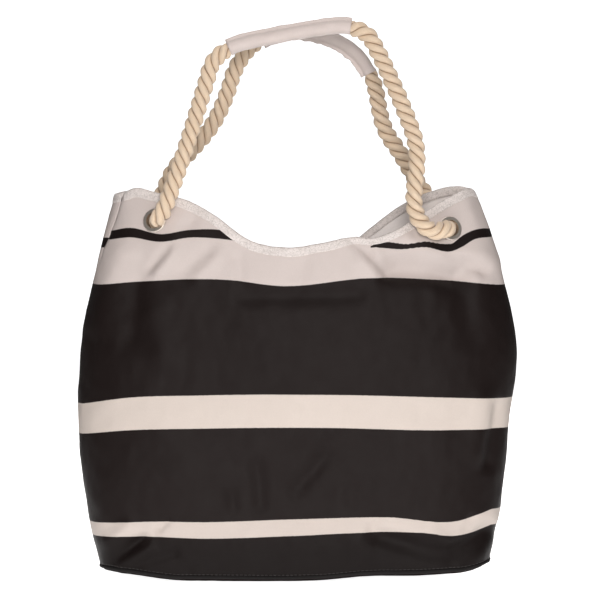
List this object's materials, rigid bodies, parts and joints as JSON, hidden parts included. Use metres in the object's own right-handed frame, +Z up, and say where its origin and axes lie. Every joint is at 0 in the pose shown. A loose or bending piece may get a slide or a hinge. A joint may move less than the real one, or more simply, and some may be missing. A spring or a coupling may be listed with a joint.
{
  "type": "beach bag",
  "caption": "Soft striped canvas beach tote with a boxed bottom, a dipped rim, eyelets and two swinging twisted-rope handles with stitched grip sleeves.",
  "frame": {"origin": "middle of the base, on the ground", "axes": "+X along the bag's width to the right as seen from the front, -Y towards the front, +Z up"},
  "size_m": [0.4386, 0.1624, 0.5666],
  "materials": {
    "canvas": "matt woven canvas, white and near-black stripes",
    "base_canvas": "matt woven canvas",
    "piping": "matt woven tape over cord",
    "seam_tape": "matt woven tape",
    "lining": "smooth polyester",
    "hem": "crinkled topstitched polyester",
    "eyelet_metal": "polished nickel",
    "rope": "twisted cotton",
    "sleeve": "stitched polyester"
  },
  "bodies": {
    "bag": {"front_panel": "canvas", "back_panel": "canvas", "base_panel": "base_canvas", "base_piping": "piping", "left_side_seam": "seam_tape", "right_side_seam": "seam_tape", "front_lining": "lining", "back_lining": "lining", "base_lining": "lining", "front_hem": "hem", "back_hem": "hem", "front_left_eyelet": "eyelet_metal", "front_left_washer": "eyelet_metal", "front_left_knot": "rope", "front_right_eyelet": "eyelet_metal", "front_right_washer": "eyelet_metal", "front_right_knot": "rope", "back_left_eyelet": "eyelet_metal", "back_left_washer": "eyelet_metal", "back_left_knot": "rope", "back_right_eyelet": "eyelet_metal", "back_right_washer": "eyelet_metal", "back_right_knot": "rope"},
    "front_handle": {"front_handle_rope": "rope", "front_sleeve": "sleeve"},
    "back_handle": {"back_handle_rope": "rope", "back_sleeve": "sleeve"}
  },
  "joints": [
    {"name": "front_handle_swing", "type": "hinge", "parent": "bag", "child": "front_handle", "pos_m": [-0.01003, -0.05875, 0.36181], "axis": [0.9989, -0.038, -0.0276], "range_deg": [-12, 155]},
    {"name": "back_handle_swing", "type": "hinge", "parent": "bag", "child": "back_handle", "pos_m": [0, 0.05246, 0.36225], "axis": [1, 0, 0], "range_deg": [-150, 12]}
  ]
}
